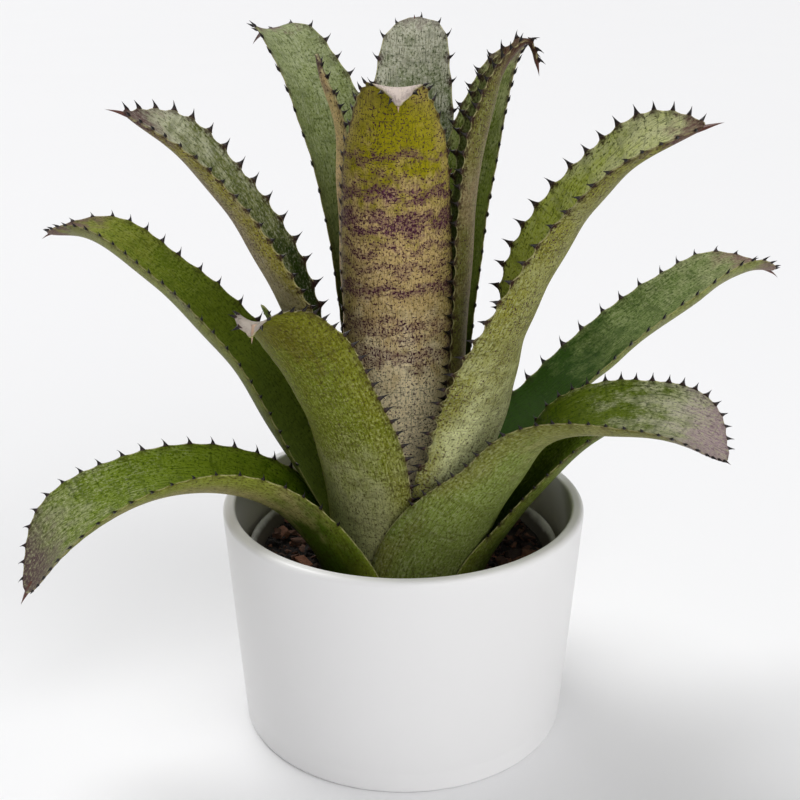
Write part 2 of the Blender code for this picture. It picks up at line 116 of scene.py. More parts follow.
# Each leaf as in the part: direction in degrees from +X towards +Y, share of its length where the teeth
# start, lean of its spines, and stations (reach, height, offset, half width, half angle, roll) from foot
# to tip.
LEAVES = {
    "leaf_low_left": (197, 0.20, 0.4, [
        (33, 0, 0, 37, 64, 0), (35.5, 70, 0, 36, 63, 0), (43, 85, 0, 34, 62, 0), (56, 101, 0, 29, 62, 4),
        (80, 112.5, 0, 27, 60, 6), (112, 112, 0, 23, 52, -4), (141, 98, 0, 19.5, 42, -15),
        (155, 79, 0, 5.5, 32, -18)]),
    "leaf_low_tucked": (0, 0.22, 0.3, [
        (33, 0, 0, 34, 58, 0), (36, 70, 0, 33, 58, 0), (46.5, 88, 0, 28, 52, 0), (60, 106, 0, 23, 48, 0),
        (80, 126, 0, 17, 46, 0), (98, 137, 0, 12, 40, 0), (109, 139, 0, 4, 30, 0)]),
    "leaf_low_right": (334, 0.25, 0.0, [
        (27.5, 0, -14, 36, 66, -27), (30, 75, -15, 36, 66, -26), (38.5, 95, -13.5, 34.5, 58, -22),
        (50.5, 115, -8.5, 28.5, 55, -14), (64, 135, -5, 28, 54, -4), (94, 146.5, 0, 25.5, 48, 5),
        (121, 144.5, 0, 21, 43, 4), (131, 140, 0, 8.5, 34, 3)]),
    "leaf_low_back": (100, 0.22, 0.4, [
        (33, 0, 0, 18, 32, 0), (36, 75, 0, 19, 34, 0), (48, 91, 0, 24, 46, 0), (80, 103, 0, 25, 48, 0),
        (112, 98, 0, 19, 45, 0), (131, 86, 0, 3, 30, 0)]),
    "leaf_low_back_right": (58, 0.22, 0.4, [
        (30.5, 0, 0, 18, 34, 0), (32.5, 75, 0, 18, 34, 0), (41, 94, 0, 20, 40, 0), (64, 110, 0, 22, 46, 0),
        (94, 110, 0, 18, 44, 0), (114, 100, 0, 3, 30, 0)]),
    "leaf_front_left": (238, 0.30, -0.1, [
        (28, 0, 0, 25, 50, 0), (30.5, 80, 0, 25, 48, 0), (34.5, 102, 0, 24, 48, 0),
        (43, 130, 0, 25, 50, 0), (56, 158, -1, 22.5, 48, 2), (70, 182, -5, 21, 48, 10),
        (81, 194, -5, 14, 38, 12), (88, 196, -5, 8, 32, 8), (91, 193.5, -4, 2.5, 30, 0)]),
    "leaf_mid_right": (22, 0.26, 0.4, [
        (27, 0, 0, 16, 34, 0), (29, 80, 0, 17, 35, 0), (41, 107, 5, 16.5, 36, 0), (73, 130, 3, 21, 44, -3),
        (104, 151, 2, 24, 48, -6), (134, 169.5, 0, 23.5, 48, -7), (162, 181, 0, 18.5, 46, -6),
        (178, 180, 0, 8, 34, 0)]),
    "leaf_mid_left": (164, 0.26, 0.3, [
        (26, 0, 0, 12, 26, 0), (28.5, 80, 0, 12, 26, 0), (38, 98, 0, 16, 34, 0), (50, 116, 0, 23, 50, 0),
        (76, 154, 0, 25, 55, 4), (108, 184, 0, 21, 52, 5), (140, 202, 0, 17, 46, 4),
        (156, 202.5, 0, 7, 34, 0)]),
    "leaf_front_right": (318, 0.25, -0.2, [
        (25.5, 0, 0, 25, 56, 0), (28, 85, 0, 25, 54, 0), (34.5, 110, 0, 25.5, 53, 0),
        (46, 142, 0.5, 29.5, 55, 4), (63, 190, 0.5, 34, 65, 31), (87, 235, 1.5, 23, 60, 33),
        (110, 256, 0, 16.5, 50, 29), (125, 263.5, 0, 5, 34, 20)]),
    "leaf_back_tall": (85, 0.26, 0.5, [
        (24, 0, 0, 20, 48, 0), (30, 110, 0, 23, 46, 0), (44, 170, 0, 22, 42, 0), (62, 230, 1, 20, 38, 0),
        (76, 264, 2, 17.5, 36, 0), (87, 281, 2, 12.5, 32, 0), (93, 286, 3, 6, 30, 0)]),
    "leaf_upper_left": (205, 0.26, 0.2, [
        (23.5, 0, 0, 20, 48, 0), (28, 112, 0, 22, 54, -2), (37, 152, 1, 23, 62, -8),
        (52, 190, 0, 27, 64, -20), (72, 228, 0, 23.5, 57, -20), (93, 254, 0, 17, 46, -20),
        (105, 263, 0, 5, 30, -14)]),
    "leaf_upper_back_right": (47, 0.26, 0.3, [
        (22, 0, 0, 19, 49, 0), (25.5, 120, 0, 18, 46, 0), (32, 180, 0, 20, 50, 0), (43, 226, 0, 17, 50, 0),
        (53, 256, 0, 13, 45, 0), (65, 275, 0, 7, 38, 0), (73, 279, 0, 2.2, 30, 0)]),
    "leaf_upper_right": (2, 0.26, 0.4, [
        (19.5, 0, 0, 19, 55, 0), (22, 120, 0, 20, 52, 0), (25.5, 180, 0, 20, 50, 0),
        (28, 225, 0, 19, 58, 0), (33, 258, 0, 16, 65, 0), (40, 277, 0, 10, 55, 0), (46, 283, 0, 6, 45, 0),
        (50, 277, 0, 3, 30, 0)]),
    "leaf_upper_back_left": (132, 0.26, 0.3, [
        (20, 0, 0, 20, 58, 0), (23, 120, 0, 21, 54, 0), (29, 180, -1, 20, 52, 0), (41, 232, 0, 20, 48, 0),
        (62, 268, 0, 18, 42, 0), (80, 283, 0, 12, 36, 0), (89, 283, 0, 4, 30, 0)]),
    "leaf_centre_banded": (270, 0.40, 0.2, [
        (18, 0, 0, 22, 68, 0), (18.5, 88, 0, 22, 68, 0), (20.5, 120, -1, 25, 68, 0),
        (26, 180, -2, 28, 70, 0), (27, 225, -3, 28, 74, 0), (28, 248, -3, 24, 66, 0),
        (30.5, 264, -3, 16, 54, 0), (34, 269.5, -2, 10.5, 28, 0), (37.5, 268.5, -2, 6, 20, 0),
        (39.5, 266, -2, 2.2, 20, 0)]),
    "leaf_centre_narrow": (184, 0.55, 0.2, [
        (15.5, 0, 0, 17, 62, 0), (19, 120, 0, 17, 66, 0), (24, 180, 0, 14, 70, 0), (25, 230, 0, 12, 70, 0),
        (27, 258, 0, 8, 60, 0), (32, 278, 0, 2.2, 30, 0)]),
    "leaf_small_left": (214, 0.45, 0.4, [
        (26, 0, 0, 7, 15, 0), (30, 90, 0, 8, 20, 0), (38, 130, 0, 8, 22, 0), (50, 165, 0, 7, 28, 0),
        (63, 191, 0, 2.2, 28, 0)]),
    "leaf_heart": (321, 0.55, 0.2, [
        (11, 0, 0, 13, 66, 0), (12, 120, 0, 13, 70, 0), (14, 180, 0, 11, 65, 0), (17, 215, 0, 7, 60, 0),
        (20, 234, 0, 2.2, 40, 0)]),
}

# Looks of a leaf. Colours are linear RGB. Zones are shares of the length, from foot to tip.
#   top, under: colours at the foot, in the middle and at the tip, and of the strip by the lower margins
#   turn: zone in which the foot's colours pass into the middle's
#   tip, tip_zone, tip_back: colour of the tip, its zone, and whether the underside has it too
#   close: how slowly the tip closes
#   end, horn: length, half width and droop of the horn there; its colour, 2.2 red-brown or 4.2 pale
#   teeth: pitch, depth of the first notch and of the last
#   spines: length of the first spine and of the last
#   near_pitch, near: the same pitch and lengths on the margin towards the front, as shares
#   silver, silver_zone, silver_back, pale: amount of pale scales at both ends of their zone, the same
#     underneath, and their colour
#   shade: amount of dark gaps between the scales
#   dots, dense: amount of purple dots underneath, and how much more of it they take
#   smudge: amount of dark colour round a spine's root
#   bands: purple bands underneath, as (centre, half width, strength)
DEEP_GREEN = (0.012, 0.028, 0.001)
DEEP_BROWN = (0.05, 0.042, 0.008)
DEEP_TIP = (0.045, 0.026, 0.028)
PURPLE = (0.055, 0.016, 0.03)
BAND_PURPLE = (0.115, 0.034, 0.08)
HORN_STAIN = (0.03, 0.011, 0.012)
DRY_EDGE = (0.5, 0.46, 0.22)
PLAIN = dict(
    top=((0.03, 0.065, 0.002), (0.14, 0.19, 0.02), (0.26, 0.29, 0.11)), turn=(0.28, 0.55),
    under=((0.26, 0.28, 0.1), (0.27, 0.26, 0.09), (0.26, 0.25, 0.09), (0.26, 0.27, 0.03)),
    tip=(0.15, 0.1, 0.085), tip_zone=(0.92, 0.99), tip_back=True, close=1.0, end=(6.5, 1.9, 0.3),
    horn=2.2, teeth=(9.8, 1.4, 0.7), near_pitch=0.75, spines=(4.0, 2.6), near=1.0, silver=(0.15, 0.45),
    silver_zone=(0.4, 0.9), silver_back=(0.35, 0.35), pale=(0.42, 0.44, 0.24), shade=0.75, dots=0.5,
    dense=0.0, smudge=0.6, bands=())
LOOKS = {
    "leaf_low_left": dict(
        top=((0.075, 0.14, 0.001), (0.15, 0.215, 0.01), (0.3, 0.31, 0.17)), turn=(0.18, 0.38),
        under=((0.055, 0.11, 0.002), (0.28, 0.25, 0.09), (0.24, 0.24, 0.09), (0.2, 0.24, 0.02)),
        tip=(0.125, 0.085, 0.08), tip_zone=(0.8, 0.95), end=(8.0, 2.3, 0.1), teeth=(8.8, 0.8, 0.6),
        near_pitch=0.95, spines=(3.9, 2.2), near=0.65, silver=(0.05, 0.9), silver_zone=(0.45, 0.85),
        silver_back=(0.1, 0.4), dots=0.2, smudge=0.35),
    "leaf_low_tucked": dict(
        top=((0.035, 0.08, 0.001), (0.1, 0.16, 0.004), (0.17, 0.21, 0.05)),
        under=((0.07, 0.11, 0.008), (0.12, 0.17, 0.015), (0.17, 0.21, 0.04), (0.16, 0.2, 0.02)),
        teeth=(8.6, 0.6, 0.5), spines=(3.0, 2.2), near=0.6),
    "leaf_low_right": dict(
        top=((0.06, 0.11, 0.001), (0.105, 0.15, 0.005), (0.48, 0.45, 0.35)), turn=(0.4, 0.66),
        under=((0.2, 0.265, 0.05), (0.27, 0.27, 0.08), (0.27, 0.24, 0.08), (0.2, 0.21, 0.04)),
        tip=(0.33, 0.25, 0.26), tip_zone=(0.85, 0.95), end=(4.0, 1.5, 0.1), teeth=(6.8, 0.8, 0.8),
        near_pitch=0.95, spines=(3.6, 2.6), near=0.75, silver=(0.0, 0.95), silver_zone=(0.6, 0.82),
        silver_back=(0.6, 0.35), dots=0.25, smudge=0.3),
    "leaf_front_left": dict(
        top=((0.1, 0.13, 0.02), (0.12, 0.14, 0.02), (0.52, 0.46, 0.4)),
        under=((0.34, 0.35, 0.16), (0.15, 0.185, 0.012), (0.125, 0.12, 0.006), (0.17, 0.18, 0.01)),
        tip=(0.5, 0.44, 0.38), tip_back=False, end=(4.0, 0.9, 0.2), horn=4.2, teeth=(8.2, 0.8, 0.6),
        silver=(0.75, 0.3), silver_back=(0.85, 0.25), pale=(0.4, 0.41, 0.16), shade=0.85, dots=0.6,
        smudge=0.5),
    "leaf_mid_right": dict(
        top=((0.02, 0.055, 0.001), (0.135, 0.19, 0.048), (0.27, 0.3, 0.13)), turn=(0.45, 0.72),
        under=((0.16, 0.2, 0.04), (0.27, 0.28, 0.12), (0.3, 0.29, 0.14), (0.24, 0.28, 0.05)),
        tip=(0.22, 0.145, 0.115), tip_zone=(0.89, 0.97), close=0.8, end=(6.5, 2.1, 0.45),
        teeth=(11.0, 1.2, 0.7), near_pitch=0.85, spines=(4.6, 2.8), near=0.8, silver=(0.0, 0.6),
        dots=0.3, smudge=0.35),
    "leaf_mid_left": dict(
        top=((0.115, 0.165, 0.02), (0.13, 0.18, 0.01), (0.225, 0.25, 0.03)), turn=(0.36, 0.62),
        under=((0.12, 0.15, 0.05), (0.26, 0.27, 0.14), (0.26, 0.25, 0.14), (0.24, 0.26, 0.05)),
        tip=(0.17, 0.105, 0.085), tip_zone=(0.91, 0.97), end=(6.1, 2.1, 0.45), teeth=(10.6, 1.2, 0.6),
        near_pitch=0.7, spines=(4.6, 2.8), near=0.6, silver=(0.05, 0.35), pale=(0.32, 0.35, 0.13),
        shade=0.65, dots=0.3, smudge=0.4),
    "leaf_front_right": dict(
        top=((0.07, 0.095, 0.005), (0.4, 0.46, 0.066), (0.58, 0.59, 0.3)),
        under=((0.72, 0.74, 0.37), (0.3, 0.3, 0.08), (0.29, 0.28, 0.12), (0.25, 0.245, 0.025)),
        tip=(0.16, 0.09, 0.065), tip_zone=(0.93, 0.99), end=(8.5, 2.3, 0.1), teeth=(10.4, 3.4, 0.9),
        near_pitch=0.8, spines=(5.0, 2.6), near=0.65, silver=(0.2, 0.7), silver_back=(0.85, 0.45),
        shade=0.85, dots=1.0, dense=0.02, smudge=0.95),
    "leaf_back_tall": dict(
        top=((0.1, 0.13, 0.05), (0.19, 0.22, 0.11), (0.46, 0.455, 0.34)), turn=(0.3, 0.78),
        tip=(0.28, 0.26, 0.2), tip_zone=(0.97, 1.0), close=0.9, end=(2.6, 1.1, -0.3),
        teeth=(13.5, 1.4, 0.8), near_pitch=1.0, spines=(4.0, 2.8), silver=(0.3, 0.7),
        pale=(0.6, 0.6, 0.5), shade=0.85, smudge=0.9),
    "leaf_upper_left": dict(
        top=((0.014, 0.026, 0.001), (0.18, 0.2, 0.066), (0.6, 0.61, 0.41)), turn=(0.54, 0.8),
        under=((0.34, 0.29, 0.14), (0.3, 0.24, 0.155), (0.29, 0.25, 0.18), (0.28, 0.25, 0.012)),
        tip=(0.15, 0.095, 0.085), end=(7.5, 2.2, 0.3), teeth=(10.0, 1.9, 1.8), spines=(4.8, 2.8),
        near=0.55, silver=(0.1, 0.75), pale=(0.46, 0.46, 0.36), dots=1.0, dense=0.015, smudge=0.9),
    "leaf_upper_back_left": dict(
        top=((0.06, 0.09, 0.012), (0.215, 0.26, 0.082), (0.31, 0.35, 0.165)), tip=(0.17, 0.11, 0.09),
        tip_zone=(0.95, 0.985), close=0.8, end=(8.0, 2.2, 0.5), teeth=(12.0, 1.3, 0.7), near_pitch=0.9,
        spines=(3.8, 3.2), silver=(0.2, 0.55), pale=(0.44, 0.47, 0.33)),
    "leaf_upper_back_right": dict(
        under=((0.25, 0.24, 0.1), (0.22, 0.24, 0.07), (0.2, 0.23, 0.06), (0.2, 0.23, 0.04)),
        spines=(3.7, 2.8), smudge=0.8),
    "leaf_upper_right": dict(
        top=((0.02, 0.032, 0.003), (0.075, 0.1, 0.016), (0.17, 0.2, 0.06)),
        under=((0.34, 0.24, 0.14), (0.27, 0.2, 0.1), (0.25, 0.22, 0.09), (0.15, 0.15, 0.02)),
        tip=(0.11, 0.052, 0.028), tip_zone=(0.88, 0.94), close=0.7, end=(6.5, 2.8, 0.2),
        teeth=(8.8, 2.2, 1.4), spines=(4.2, 2.8), silver=(0.2, 0.3), dots=1.0, dense=0.01, smudge=0.9),
    "leaf_centre_banded": dict(
        top=((0.3, 0.28, 0.1), (0.4, 0.36, 0.2), (0.7, 0.6, 0.53)), turn=(0.34, 0.6),
        under=((1.0, 0.86, 0.56), (0.58, 0.415, 0.175), (0.3, 0.265, 0.007), (0.42, 0.33, 0.09)),
        tip=(0.66, 0.56, 0.5), tip_back=False, end=(4.0, 0.9, 0.2), horn=4.2, teeth=(9.0, 0.8, 1.8),
        spines=(4.2, 2.4), silver=(0.3, 0.5), silver_back=(0.45, 0.0), pale=(0.9, 0.78, 0.52),
        shade=0.72, dots=1.0, smudge=0.8,
        bands=((0.841, 0.008, 0.7), (0.808, 0.006, 0.5), (0.777, 0.013, 1.0), (0.724, 0.02, 1.0),
               (0.68, 0.008, 0.7), (0.645, 0.008, 0.6), (0.603, 0.013, 0.9), (0.53, 0.018, 0.6),
               (0.475, 0.016, 0.7))),
    "leaf_centre_narrow": dict(
        under=((0.92, 0.64, 0.34), (0.84, 0.58, 0.31), (0.64, 0.48, 0.2), (0.8, 0.58, 0.28)),
        end=(2.2, 0.9, 0.2), spines=(3.4, 2.6), dots=1.0),
    "leaf_small_left": dict(
        top=((0.1, 0.16, 0.008), (0.16, 0.25, 0.012), (0.18, 0.27, 0.02)),
        under=((0.1, 0.16, 0.008), (0.16, 0.25, 0.012), (0.18, 0.27, 0.02), (0.16, 0.25, 0.012)),
        tip=(0.12, 0.17, 0.03), end=(2.5, 0.7, 0.0), spines=(2.4, 1.6), silver=(0.1, 0.1), dots=0.0,
        smudge=0.2),
    "leaf_heart": dict(
        top=((0.12, 0.16, 0.02), (0.13, 0.18, 0.03), (0.18, 0.22, 0.06)), spines=(3.0, 2.2)),
}


# Materials


class Tree:
    """Short names for building a material's nodes."""

    def __init__(self, name):
        self.material = bpy.data.materials.new(name)
        self.material.use_nodes = True
        self.nodes = self.material.node_tree.nodes
        self.links = self.material.node_tree.links
        self.shader = self.nodes["Principled BSDF"]

    def put(self, socket, value):
        if isinstance(value, bpy.types.NodeSocket):
            self.links.new(value, socket)
        elif socket.type == "RGBA":
            socket.default_value = (*value, 1.0)
        else:
            socket.default_value = value

    def attribute(self, name, output="Fac"):
        node = self.nodes.new("ShaderNodeAttribute")
        node.attribute_name = name
        return node.outputs[output]

    def object_place(self):
        return self.nodes.new("ShaderNodeTexCoord").outputs["Object"]

    def grains(self, scale, detail, roughness=0.55, distortion=0.0):
        """Noise in the object's own space."""
        return self.noise(self.object_place(), scale, detail, roughness, distortion)

    def noise(self, vector, scale, detail, roughness, distortion):
        node = self.nodes.new("ShaderNodeTexNoise")
        self.links.new(vector, node.inputs["Vector"])
        for key, value in (("Scale", scale), ("Detail", detail), ("Roughness", roughness),
                           ("Distortion", distortion)):
            node.inputs[key].default_value = value
        return node.outputs["Fac"]

    def math(self, operation, a, b=0.0):
        node = self.nodes.new("ShaderNodeMath")
        node.operation = operation
        self.put(node.inputs[0], a)
        self.put(node.inputs[1], b)
        return node.outputs[0]

    def times(self, a, b):
        return self.math("MULTIPLY", a, b)

    def plus(self, a, b):
        return self.math("ADD", a, b)

    def minus(self, a, b):
        return self.math("SUBTRACT", a, b)

    def larger(self, a, b):
        return self.math("MAXIMUM", a, b)

    def step(self, value, low, high, out_low=0.0, out_high=1.0):
        """Smooth step from out_low to out_high as value goes from low to high."""
        node = self.nodes.new("ShaderNodeMapRange")
        node.interpolation_type = "SMOOTHSTEP"
        for i, v in enumerate((value, low, high, out_low, out_high)):
            self.put(node.inputs[i], v)
        return node.outputs[0]

    def mix(self, share, a, b):
        node = self.nodes.new("ShaderNodeMix")
        node.data_type = "RGBA"
        self.put(node.inputs[0], share)
        self.put(node.inputs[6], a)
        self.put(node.inputs[7], b)
        return node.outputs[2]

    def bump(self, height, strength, distance):
        node = self.nodes.new("ShaderNodeBump")
        node.inputs["Strength"].default_value = strength
        node.inputs["Distance"].default_value = distance
        self.links.new(height, node.inputs["Height"])
        self.links.new(node.outputs[0], self.shader.inputs["Normal"])

    def finish(self, colour, roughness):
        self.put(self.shader.inputs["Base Color"], colour)
        self.put(self.shader.inputs["Roughness"], roughness)
        return self.material


class Skin(Tree):
    """Tree of one leaf's skin, with its vertex values and the noises laid on its blade."""

    def __init__(self, name, look):
        super().__init__(name)
        self.look = look
        self.along, self.edge, self.face, self.root = (self.attribute(n)
                                                       for n in ("along", "edge", "face", "tooth"))
        self.grain = self.pattern(0.95, 1.5, 1.0, 3.0, 0.7)
        self.fine = self.pattern(0.5, 0.7, 2.0, 2.0, 0.6)
        self.lines = self.pattern(0.7, 10.0, 1.0, 3.0, 0.65)
        self.ripples = self.pattern(11.0, 1.6, 2.0, 3.0, 0.6, 0.6)
        self.weather = self.pattern(11.0, 5.0, 6.0, 4.0, 0.6)
        self.cloud = self.pattern(6.0, 10.0, 1.0, 5.0, 0.62)
        self.patch = self.pattern(20.0, 30.0, 5.0, 2.0, 0.5)
        self.uneven = self.plus(self.along, self.step(self.cloud, 0.25, 0.75, -0.1, 0.1))

    def pattern(self, across, along, layer, detail, roughness, distortion=0.0):
        """Noise on the blade, with grains of the given sizes in millimetres across and along it."""
        node = self.nodes.new("ShaderNodeVectorMath")
        node.operation = "MULTIPLY"
        self.links.new(self.attribute("place", "Vector"), node.inputs[0])
        node.inputs[1].default_value = (1 / across, 1 / along, layer)
        return self.noise(node.outputs[0], 1.0, detail, roughness, distortion)


def skin_base(t):
    """Colours of the two faces from foot to tip, with the strip along the underside's margins."""
    turn_from, turn_to = t.look["turn"]
    turn = t.step(t.uneven, turn_from, turn_to)
    far_from = max(0.68, turn_to)
    foot, middle, far = t.look["top"]
    top = t.mix(t.step(t.uneven, far_from, 0.98), t.mix(turn, foot, middle), far)
    foot, middle, far, by_margin = t.look["under"]
    under = t.mix(t.step(t.uneven, far_from, 0.86), t.mix(turn, foot, middle), far)
    strip = t.times(t.step(t.edge, 14.0, 3.0), t.step(t.patch, 0.3, 0.55))
    under = t.mix(t.times(strip, 0.85), under, by_margin)
    return t.mix(t.face, under, top)


def tip_share(t):
    """How far the tip's own colour has come in."""
    share = t.plus(t.along, t.step(t.cloud, 0.3, 0.7, -0.03, 0.03))
    share = t.step(share, *t.look["tip_zone"])
    return share if t.look["tip_back"] else t.times(share, t.face)


def add_scales(t, colour, bare):
    """Pale scales, in grains and streaks along the blade."""
    top = t.step(t.uneven, *t.look["silver_zone"], *t.look["silver"])
    under = t.step(t.uneven, 0.4, 0.9, *t.look["silver_back"])
    silver = t.plus(t.times(top, t.face), t.times(under, t.minus(1.0, t.face)))
    streaks = t.times(t.step(t.lines, 0.5, 0.66), t.step(t.cloud, 0.35, 0.65, 0.15, 0.85))
    pale = t.times(t.larger(t.step(t.grain, 0.5, 0.66), streaks), silver)
    return t.mix(t.times(pale, bare), colour, t.look["pale"])


def add_gaps(t, colour, bare, tip):
    """Dark gaps between the scales, in grains, lines along the blade and ripples across it."""
    gaps = t.step(t.grain, 0.49, 0.36)
    for noise, high, low, strength in ((t.lines, 0.46, 0.34, 0.8), (t.ripples, 0.44, 0.32, 0.6),
                                       (t.fine, 0.42, 0.3, 0.5), (t.weather, 0.52, 0.34, 0.42)):
        gaps = t.larger(gaps, t.step(noise, high, low, 0.0, strength))
    gaps = t.times(t.times(gaps, t.look["shade"]), bare)
    deep = t.mix(tip, t.mix(t.face, DEEP_BROWN, DEEP_GREEN), DEEP_TIP)
    return t.mix(gaps, colour, deep)


def add_bands(t, colour, limit):
    """Broken purple bands across the underside, with more dots in them and above them."""
    wander = t.pattern(9.0, 9.0, 7.0, 3.0, 0.6)
    height = t.plus(t.along, t.step(wander, 0.25, 0.75, -0.016, 0.016))
    band = 0.0
    for centre, reach, strength in t.look["bands"]:
        away = t.math("ABSOLUTE", t.minus(height, centre))
        band = t.larger(band, t.step(away, 1.6 * reach, 0.4 * reach, 0.0, strength))
    broken = t.pattern(8.0, 3.0, 8.0, 3.0, 0.6)
    band = t.times(band, t.step(broken, 0.33, 0.48))
    speckle = t.step(t.plus(t.grain, t.times(t.fine, 0.5)), 0.86, 0.62, 0.4, 0.95)
    colour = t.mix(t.times(band, speckle), colour, BAND_PURPLE)
    limit = t.minus(limit, t.times(band, 0.07))
    return colour, t.minus(limit, t.step(t.along, 0.45, 0.65, 0.015, 0.045))


def add_spots(t, colour, limit):
    """Purple dots and short dashes, mostly underneath: where noise passes the limit."""
    dots = t.pattern(0.7, 1.1, 3.0, 1.0, 0.5)
    dashes = t.minus(t.pattern(1.6, 0.65, 4.0, 1.0, 0.5), 0.02)
    spots = t.larger(t.minus(dots, limit), t.minus(dashes, limit))
    spots = t.times(t.step(spots, 0.0, 0.05), t.look["dots"])
    under = t.minus(1.0, t.times(t.face, 0.8))
    return t.mix(t.times(spots, under), colour, PURPLE)


def add_margin(t, colour):
    """Dark stain round each spine's root, and the dry edge between the spines."""
    darkening = t.step(t.plus(t.root, t.step(t.grain, 0.3, 0.7, -1.0, 1.0)), 4.2, 1.2)
    amount = t.look["smudge"]
    darkening = t.times(darkening, t.step(t.along, 0.9, 0.96, amount, 0.5 * amount))
    colour = t.mix(darkening, colour, HORN_STAIN)
    edge = t.times(t.step(t.edge, 0.5, 0.15), t.step(t.ripples, 0.4, 0.6, 0.15, 0.75))
    return t.mix(t.times(edge, t.step(t.root, 0.9, 1.8)), colour, DRY_EDGE)


def leaf_material(name, look):
    """Both faces of a blade: mottled, streaked and scaly, with dots, bands and stained margins."""
    t = Skin(name, look)
    tip = tip_share(t)
    bare = t.minus(1.0, t.times(tip, 0.3 if look["tip_back"] else 0.95))
    colour = t.mix(tip, skin_base(t), look["tip"])
    colour = add_scales(t, colour, bare)
    colour = add_gaps(t, colour, bare, tip)
    limit = t.minus(0.675 - look["dense"], t.step(t.patch, 0.35, 0.65, 0.0, 0.05))
    if look["bands"]:
        colour, limit = add_bands(t, colour, limit)
    colour = add_margin(t, add_spots(t, colour, limit))
    t.bump(t.plus(t.lines, t.times(t.grain, 0.8)), 0.6, 0.0006)
    t.shader.inputs["Specular IOR Level"].default_value = 0.04
    return t.finish(colour, t.step(t.grain, 0.3, 0.8, 0.4, 0.62))


def spine_material():
    """Near-black spines with a brown root; the horn value is above 1 on the horns at the tips."""
    t = Tree("spine")
    horn = t.attribute("horn")
    grain = t.grains(900.0, 2.0)
    colour = t.mix(t.step(horn, 0.0, 0.35), (0.04, 0.018, 0.014), (0.008, 0.006, 0.006))
    colour = t.mix(t.step(grain, 0.5, 0.8, 0.0, 0.5), colour, (0.035, 0.02, 0.016))
    colour = t.mix(t.step(horn, 1.5, 2.2), colour, (0.1, 0.034, 0.022))
    colour = t.mix(t.step(horn, 3.0, 4.0), colour, (0.5, 0.34, 0.24))
    t.shader.inputs["Specular IOR Level"].default_value = 0.3
    return t.finish(colour, t.step(grain, 0.3, 0.8, 0.3, 0.5))


def glaze_material():
    """White satin glaze, with painted shade and a painted reflection of the leaves darkening the inside of
    the pot below its lip.
    """
    t = Tree("white_glaze")
    slow = t.grains(9.0, 2.0)
    fine = t.grains(700.0, 2.0)
    colour = t.mix(slow, (0.81, 0.805, 0.805), (0.835, 0.83, 0.83))
    # Painted shade and painted reflection of the leaves: inner faces turn dark olive (0.46, 0.43, 0.3), more
    # so deeper in the pot.
    darkening = t.times(t.attribute("inside"), t.step(slow, 0.2, 0.8, 0.8, 1.0))
    colour = t.mix(darkening, colour, (0.46, 0.43, 0.3))
    t.bump(fine, 0.06, 0.0003)
    return t.finish(colour, t.step(slow, 0.3, 0.7, 0.34, 0.42))


def plastic_material():
    """Pale plastic, turning almost black-brown below the nursery pot's rim."""
    t = Tree("pale_plastic")
    smear = t.grains(60.0, 4.0)
    place = t.nodes.new("ShaderNodeSeparateXYZ")
    t.links.new(t.object_place(), place.inputs[0])
    height = t.plus(place.outputs["Z"], t.step(smear, 0.3, 0.7, -0.001, 0.001))
    # Over about 3 mm below the rim's top the colour turns almost black-brown, and stays so further down.
    below_rim = t.step(height, GROW_TOP * MM, (GROW_TOP - 3) * MM)
    colour = t.mix(t.step(smear, 0.4, 0.7), (0.42, 0.42, 0.38), (0.58, 0.58, 0.54))
    colour = t.mix(t.times(below_rim, 0.9), colour, (0.06, 0.045, 0.03))
    t.bump(smear, 0.1, 0.0004)
    return t.finish(colour, t.step(smear, 0.3, 0.7, 0.42, 0.6))


def soil_material():
    t = Tree("soil")
    grit = t.grains(420.0, 5.0, 0.7)
    clod = t.grains(90.0, 4.0)
    colour = t.mix(t.step(grit, 0.4, 0.65), (0.004, 0.003, 0.002), (0.02, 0.011, 0.008))
    colour = t.mix(t.step(clod, 0.55, 0.7, 0.0, 0.5), colour, (0.05, 0.024, 0.015))
    t.bump(grit, 0.9, 0.002)
    return t.finish(colour, 0.95)


def bark_material():
    t = Tree("bark")
    grain = t.grains(520.0, 5.0, 0.65, 0.4)
    colour = t.mix(t.attribute("tone"), (0.006, 0.004, 0.003), (0.27, 0.11, 0.055))
    colour = t.mix(t.step(grain, 0.45, 0.7, 0.0, 0.6), colour, (0.02, 0.012, 0.01))
    colour = t.mix(t.step(grain, 0.62, 0.8, 0.0, 0.4), colour, (0.22, 0.1, 0.06))
    t.bump(grain, 0.8, 0.0012)
    return t.finish(colour, 0.85)


def stem_material():
    t = Tree("stem_tissue")
    grain = t.grains(260.0, 4.0, 0.6)
    return t.finish(t.mix(grain, (0.06, 0.045, 0.025), (0.2, 0.15, 0.08)), 0.8)


def floor_material():
    t = Tree("pale_floor")
    grain = t.grains(3.0, 2.0)
    t.shader.inputs["Specular IOR Level"].default_value = 0.2
    return t.finish(t.mix(grain, (0.862, 0.862, 0.872), (0.872, 0.872, 0.882)), 0.7)


# Shapes


def link(obj):
    bpy.context.scene.collection.objects.link(obj)
    return obj


def mesh_object(name, verts, faces, materials):
    mesh = bpy.data.meshes.new(name)
    mesh.from_pydata([tuple(v) for v in verts], [], faces)
    for mat in materials:
        mesh.materials.append(mat)
    mesh.shade_smooth()
    mesh.update()
    return link(bpy.data.objects.new(name, mesh))


def bmesh_object(name, bm, materials=()):
    mesh = bpy.data.meshes.new(name)
    bm.to_mesh(mesh)
    bm.free()
    for mat in materials:
        mesh.materials.append(mat)
    return link(bpy.data.objects.new(name, mesh))


def turn_outwards(obj, first=0):
    """Turns the faces of closed shells outwards, from face number first on."""
    bm = bmesh.new()
    bm.from_mesh(obj.data)
    bm.faces.ensure_lookup_table()
    bmesh.ops.recalc_face_normals(bm, faces=bm.faces[first:])
    bm.to_mesh(obj.data)
    bm.free()


